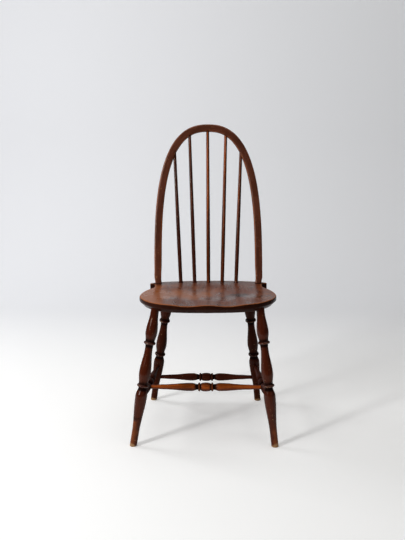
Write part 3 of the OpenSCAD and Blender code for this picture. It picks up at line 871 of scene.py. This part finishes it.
class Wires:
    """A material's node tree, with short calls for the nodes that the woods share."""

    def __init__(self, name):
        self.material = bpy.data.materials.new(name)
        self.material.use_nodes = True
        self.tree = self.material.node_tree
        self.tree.nodes.clear()

    def put(self, socket, value):
        if isinstance(value, bpy.types.NodeSocket):
            self.tree.links.new(value, socket)
        else:
            socket.default_value = value

    def add(self, kind, inputs=None, **settings):
        node = self.tree.nodes.new(kind)
        for key, value in settings.items():
            setattr(node, key, value)
        for key, value in (inputs or {}).items():
            self.put(node.inputs[key], value)
        return node

    def finish(self, shader):
        self.add("ShaderNodeOutputMaterial", {"Surface": shader.outputs[0]})
        return self.material

    def mask(self, name):
        return self.add("ShaderNodeAttribute", attribute_name=name).outputs["Fac"]

    def grain_noise(self, scale, shift, detail, roughness, distortion=0.0):
        """Noise in the piece's own axes, with this many features a metre along each."""
        source = self.add("ShaderNodeAttribute", attribute_name="grain").outputs["Vector"]
        settings = {"Vector": source, "Scale": scale, "Location": (shift, shift, shift)}
        inputs = {"Vector": self.add("ShaderNodeMapping", settings).outputs["Vector"], "Scale": 1.0}
        inputs.update({"Detail": detail, "Roughness": roughness, "Distortion": distortion})
        return self.add("ShaderNodeTexNoise", inputs).outputs["Fac"]

    def spread(self, value, low, high, to_low=0.0, to_high=1.0):
        """value eased from low..high to to_low..to_high."""
        inputs = {"Value": value, "From Min": low, "From Max": high}
        inputs.update({"To Min": to_low, "To Max": to_high})
        node = self.add("ShaderNodeMapRange", inputs, interpolation_type="SMOOTHSTEP")
        return node.outputs["Result"]

    def math(self, operation, a, b=0.0, clamp=False):
        return self.add("ShaderNodeMath", {0: a, 1: b}, operation=operation, use_clamp=clamp).outputs[0]

    def uneven(self, value, noise, amount, clamp=False):
        """value, made up to half this amount more or less by the noise."""
        change = self.math("MULTIPLY", self.math("SUBTRACT", noise, 0.5), amount)
        return self.math("ADD", value, change, clamp)

    def mix(self, share, a, b):
        """Colour a, covered by this share of colour b."""
        return self.add("ShaderNodeMix", {"Factor": share, 6: a, 7: b}, data_type="RGBA").outputs[2]


# Features a metre across, across and along the grain
STREAKS = (330, 330, 11)
BANDS = (70, 70, 2.2)
PORES = (1500, 1500, 36)
CLOUDS = (22, 22, 9)
SPECKS = (240, 240, 240)
# Display colours that all the woods share
PORE_COLOUR = (20, 9, 6)
DIRT_COLOUR = (13, 6, 5)
BLOTCH_COLOUR = (30, 19, 17)
SEAT_EDGE_COLOUR = (27, 11, 8)
# Old wax reflects a little warmer than the light that falls on it
WAX_TINT = (1.0, 0.78, 0.68, 1)
WOOD_IOR = 1.45


def worn_wood(
    name, stain, light, worn, bare, rough=0.30, wear=1.0, streak=0.5, shine=0.2, polish=0.0, seat=False
):
    """Old stained wood, streaked along its grain between the display colours stain and light.

    It is worn to the colour worn where the piece stands proud or is rubbed, and where its front is
    painted lighter, as light falling on the side that faces the lamps, and to the colour bare in its
    dents and at its feet. rough is its least roughness, wear how easily its crests wear, streak how
    strong its streaks are, shine how much it reflects and polish how much wax the crests of a round
    piece hold. seat adds the seat's dark blotches, the painted shade towards its back and its almost
    black edge.
    """
    w = Wires(name)
    streaks = w.grain_noise(STREAKS, 0.0, detail=5, roughness=0.62, distortion=0.4)
    bands = w.grain_noise(BANDS, 3.7, detail=3, roughness=0.5, distortion=1.2)
    pores = w.grain_noise(PORES, 1.3, detail=2, roughness=0.5)
    cloud = w.grain_noise(CLOUDS, 8.1, detail=4, roughness=0.6)
    speck = w.grain_noise(SPECKS, 5.2, detail=3, roughness=0.6)

    colour = w.mix(w.spread(streaks, 0.34, 0.68, 0, streak), linear(*stain), linear(*light))
    colour = w.mix(w.spread(bands, 0.35, 0.7, 0, 0.55 * streak), colour, linear(*light))
    dark_cloud = w.spread(cloud, 0.30, 0.62, 0.55, 0.0)
    colour = w.mix(dark_cloud, colour, linear(*[0.62 * c for c in stain]))
    faded = w.uneven(w.mask("fade_and_light"), cloud, 0.9)
    colour = w.mix(w.spread(faded, 0.15, 1.0, 0, 0.85), colour, linear(*worn))

    # The stain is worn through on the arrises, the fattest parts of the turnings, and the feet
    crest = w.mask("crest")
    rubbed = w.uneven(w.uneven(w.math("MULTIPLY", crest, wear), speck, 0.7), cloud, 0.8)
    rubbed = w.spread(rubbed, 0.35, 1.0)
    colour = w.mix(rubbed, colour, linear(*worn))
    # Worn feet, and fronts made paler: partly rubbed, partly painted light on the side that faces the
    # lamps
    scuff = w.uneven(w.mask("scuff"), streaks, 0.8)
    colour = w.mix(w.spread(scuff, 0.1, 1.0, 0, 0.9), colour, linear(*worn))
    colour = w.mix(w.math("MULTIPLY", w.mask("tip"), 0.85), colour, linear(*bare))
    colour = w.mix(w.math("MULTIPLY", w.mask("dent"), 0.5), colour, linear(*bare))
    fleck = w.math("MULTIPLY", w.spread(speck, 0.80, 0.86), 0.4)
    colour = w.mix(fleck, colour, linear(*[0.5 * (a + b) for a, b in zip(worn, bare)]))
    pore = w.spread(pores, 0.56, 0.72, 0, 0.45)
    colour = w.mix(pore, colour, linear(*PORE_COLOUR))

    # Old wax and dirt lie in the hollows
    dirt = w.spread(w.uneven(w.mask("hollow"), speck, 0.5), 0.15, 0.85, 0, 0.9)
    colour = w.mix(dirt, colour, linear(*DIRT_COLOUR))
    if seat:
        # The seat's dark stains, and the painted shade towards its back
        blotch = w.uneven(w.mask("dark"), speck, 0.9)
        colour = w.mix(w.spread(blotch, 0.2, 1.0, 0, 0.8), colour, linear(*BLOTCH_COLOUR))
        side = w.mask("side")
        edge = w.spread(w.math("SUBTRACT", side, crest), 0.2, 0.9, 0, 0.86)
        colour = w.mix(edge, colour, linear(*SEAT_EDGE_COLOUR))

    roughness = w.spread(cloud, 0.3, 0.7, rough - 0.05, rough + 0.10)
    roughness = w.math("ADD", roughness, w.math("MULTIPLY", rubbed, 0.10))
    roughness = w.math("ADD", roughness, w.math("MULTIPLY", dirt, 0.22))
    roughness = w.uneven(roughness, speck, 0.06, clamp=True)
    height = w.math("SUBTRACT", w.math("MULTIPLY", streaks, 0.5), w.math("MULTIPLY", pore, 0.7))
    height = w.math("ADD", height, w.math("MULTIPLY", speck, 0.25))
    bump = w.add("ShaderNodeBump", {"Height": height, "Strength": 0.22, "Distance": 0.6 * MM})

    # Dirt, the seat's edge and the parts of a round piece that turn away are all dull
    inputs = {"Base Color": colour, "Roughness": roughness, "Normal": bump.outputs["Normal"]}
    inputs.update({"IOR": WOOD_IOR, "Specular Tint": WAX_TINT})
    if seat:
        level = w.spread(side, 0.2, 0.8, shine, 0.05)
    else:
        turned_away = w.add("ShaderNodeLayerWeight", {"Blend": 0.5}).outputs["Facing"]
        level = w.spread(turned_away, 0.45, 0.85, shine, 0.0)
        if polish:
            waxed = w.spread(turned_away, 0.4, 0.8, polish, 0.0)
            inputs.update({"Coat Weight": w.math("MULTIPLY", crest, waxed), "Coat Roughness": 0.12})
    inputs["Specular IOR Level"] = w.math("MULTIPLY", level, w.math("SUBTRACT", 1.0, dirt))
    return w.finish(w.add("ShaderNodeBsdfPrincipled", inputs))


LEG_WOOD = worn_wood(
    "leg_wood", stain=(67, 21, 7), light=(88, 35, 12), worn=(122, 60, 24), bare=(168, 130, 90),
    rough=0.16, wear=0.4, shine=0.22, polish=0.5,
)
BOW_WOOD = worn_wood(
    "bow_wood", stain=(88, 44, 29), light=(108, 58, 36), worn=(164, 82, 28), bare=(160, 110, 66),
    rough=0.24, shine=0.4,
)
SPINDLE_WOOD = worn_wood(
    "spindle_wood", stain=(48, 16, 8), light=(84, 34, 14), worn=(160, 76, 28), bare=(150, 100, 60),
    rough=0.16, wear=0.6, streak=0.7, shine=0.3,
)
# A darker copy of the leg wood, as painted shade on the rear legs under the seat
SHADED_REAR_LEG_WOOD = worn_wood(
    "shaded_rear_leg_wood", stain=(54, 18, 6), light=(70, 27, 9), worn=(92, 44, 20), bare=(168, 130, 90),
    rough=0.20, wear=0.3, shine=0.05, polish=0.35,
)
STRETCHER_WOOD = worn_wood(
    "stretcher_wood", stain=(52, 19, 11), light=(80, 32, 16), worn=(108, 50, 22), bare=(140, 100, 64),
    rough=0.34, wear=0.45, shine=0.04,
)
# Lighter and more orange than the other stretchers, partly its own wear and partly painted light
FRONT_WOOD = worn_wood(
    "front_stretcher_wood", stain=(84, 32, 12), light=(122, 54, 18), worn=(172, 82, 26),
    bare=(170, 120, 66), rough=0.26, wear=0.8, streak=0.8,
)
SEAT_WOOD = worn_wood(
    "seat_wood", stain=(90, 40, 21), light=(126, 66, 36), worn=(158, 92, 52), bare=(166, 116, 76),
    rough=0.28, streak=0.75, shine=0.10, seat=True,
)
WEDGE_WOOD = worn_wood(
    "wedge_wood", stain=(120, 84, 54), light=(140, 100, 66), worn=(150, 110, 74), bare=(165, 125, 85),
    rough=0.6, wear=0.2,
)

# ---- The chair ----

# For each foot: how high its wear reaches (mm) and how strong it is, over what height it starts
# (mm), the way it leans, how high its bare tip reaches (mm), and the dirt in a line above the wear
FEET = {
    "leg_front_left": dict(reach=84, share=0.45, soft=8, lean=(-1.6, -0.4, 0), tip=9, dirt=0.6),
    "leg_front_right": dict(reach=100, share=0.32, soft=60, lean=(1.2, -0.4, 0), tip=11, dirt=0),
    "leg_rear_left": dict(reach=60, share=0.05, soft=50, lean=(-0.9, -0.4, 0), tip=9, dirt=0),
    "leg_rear_right": dict(reach=50, share=0.10, soft=40, lean=(-0.3, -0.9, 0), tip=5, dirt=0),
}
# How much paler each spindle's front is, from left to right: partly rubbed by sitters' backs, partly a
# painted highlight on the side that faces the lamps
SPINDLE_RUB_AND_LIGHT = (0.1, 0.35, 1.0, 0.85, 0.55)

seat_piece(SEAT_WOOD)
bow_piece(BOW_WOOD)
for k, node in enumerate(SPINDLES):
    rubbed = (SPINDLE_RUB_AND_LIGHT[k], (-0.35, -0.94, 0), 0.45)
    turned_piece(node, SPINDLE_WOOD, columns=32, seed=10 + k, step=2.2, soften=3, rubbed=rubbed)
for k, node in enumerate(LEGS):
    # The rear legs take the darker copy of the leg wood, which is painted shade
    wood = SHADED_REAR_LEG_WOOD if "rear" in node else LEG_WOOD
    turned_piece(node, wood, columns=56, seed=20 + 2 * k, grime=3.5, foot=FEET[node])
for k, node in enumerate(SIDE_STRETCHERS):
    turned_piece(node, STRETCHER_WOOD, columns=44, seed=40 + k)
turned_piece("rear_stretcher", STRETCHER_WOOD, columns=48, seed=45)
# The front stretcher's top and front are made paler, partly worn by feet and partly painted light facing
# the lamps, which leaves its underside darker as painted shade
rubbed = (0.85, (0, -0.86, 0.5), 1.0)
turned_piece("front_cross_stretcher", FRONT_WOOD, columns=48, seed=47, grime=4, rubbed=rubbed)
for node in WEDGES:
    wedge_piece(node, WEDGE_WOOD)

# ---- Floor, light and camera ----

# The paper's colours: darker towards the right and up the wall, as painted falloff of the light from the
# left
FLOOR_COLOUR = (242, 241, 239)
FLOOR_RIGHT_COLOUR = (230, 229, 227)
WALL_LEFT_COLOUR = (229, 229, 231)
WALL_RIGHT_COLOUR = (219, 219, 220)
# The paper seems this much brighter than it is lit
PAPER_LIFT = 0.30
# The sheet: half its width, how far it reaches in front of and behind the chair, its bend and height
SHEET_HALF = 1.5
SHEET_FRONT = 0.62
SHEET_BACK = 2.2
SHEET_BEND = 0.9
SHEET_TOP = 4.5


def studio_paper():
    """Matt paper, painted darker up the wall and towards the right as the light from the left falls off,
    that shows brighter than it is lit.
    """
    w = Wires("studio_paper")
    place = w.add("ShaderNodeTexCoord").outputs["Object"]
    x, y, z = w.add("ShaderNodeSeparateXYZ", {"Vector": place}).outputs
    wall = w.mix(w.spread(x, -1.4, 1.4), linear(*WALL_LEFT_COLOUR), linear(*WALL_RIGHT_COLOUR))
    floor = w.mix(w.spread(x, -0.6, 1.6), linear(*FLOOR_COLOUR), linear(*FLOOR_RIGHT_COLOUR))
    rise = w.math("MAXIMUM", w.spread(z, 0.0, 0.5), w.spread(y, 0.2, 1.9))
    colour = w.mix(rise, floor, wall)
    matt = w.add("ShaderNodeBsdfDiffuse", {"Color": colour})
    path = w.add("ShaderNodeLightPath").outputs
    seen = w.math("MAXIMUM", path["Is Camera Ray"], path["Is Glossy Ray"])
    seen = w.math("MAXIMUM", seen, path["Is Transmission Ray"])
    strength = w.math("MULTIPLY", seen, PAPER_LIFT)
    glow = w.add("ShaderNodeEmission", {"Color": colour, "Strength": strength})
    return w.finish(w.add("ShaderNodeAddShader", {0: matt.outputs[0], 1: glow.outputs[0]}))


def studio():
    """A floor that curves up into a back wall, as one seamless sheet."""
    low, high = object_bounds()
    wall_y = high[1] + SHEET_BACK
    profile = [(low[1] - SHEET_FRONT, 0.0)]
    profile += [
        (wall_y - SHEET_BEND * (1 - math.sin(a)), SHEET_BEND * (1 - math.cos(a)))
        for a in np.linspace(0, math.pi / 2, 24)
    ]
    profile.append((wall_y, SHEET_TOP))
    points = [(x, y, z) for y, z in profile for x in (-SHEET_HALF, SHEET_HALF)]
    faces = [(2 * k, 2 * k + 1, 2 * k + 3, 2 * k + 2) for k in range(len(profile) - 1)]
    mesh = bpy.data.meshes.new("studio")
    mesh.from_pydata(points, [], faces)
    mesh.polygons.foreach_set("use_smooth", [True] * len(faces))
    mesh.materials.append(studio_paper())
    sheet = placed("studio", mesh)
    sheet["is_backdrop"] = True


def lamp(name, place, aim, size, power, colour=(1, 1, 1)):
    light = bpy.data.lights.new(name, "AREA")
    light.shape = "RECTANGLE"
    light.size, light.size_y = size
    light.energy = power
    light.color = colour
    holder = placed(name, light)
    holder.location = place
    holder.rotation_euler = (Vector(aim) - Vector(place)).to_track_quat("-Z", "Y").to_euler()


studio()
lamp("window", (-2.5, -2.1, 1.9), (0, 0, 0.45), (0.8, 1.8), 28, (0.97, 0.985, 1.0))
lamp("window_pane", (-2.3, -2.3, 1.7), (0, 0, 0.45), (0.34, 1.4), 47, (0.97, 0.985, 1.0))
lamp("side_window", (-2.3, 0.9, 1.75), (0, 0.15, 0.8), (1.0, 1.1), 22, (0.95, 0.97, 1.0))
lamp("bounce", (2.4, -2.4, 1.6), (0, 0, 0.45), (1.6, 1.6), 4, (1.0, 0.98, 0.95))
lamp("ceiling", (0, -0.3, 3.4), (0, 0.1, 0), (3.5, 3.5), 34)

world = bpy.data.worlds.new("room")
world.use_nodes = True
world.node_tree.nodes["Background"].inputs["Color"].default_value = (0.95, 0.97, 1.0, 1)
world.node_tree.nodes["Background"].inputs["Strength"].default_value = 0.10
bpy.context.scene.world = world

camera = bpy.data.cameras.new("camera")
camera.sensor_width = 36
camera.lens = 51.84
holder = placed("camera", camera)
holder.location = (0.0312, -2.3968, 0.9484)
holder.rotation_euler = [math.radians(angle) for angle in (79.43, 0.05, 0.914)]
bpy.context.scene.camera = holder
bpy.context.scene.view_settings.view_transform = "Standard"
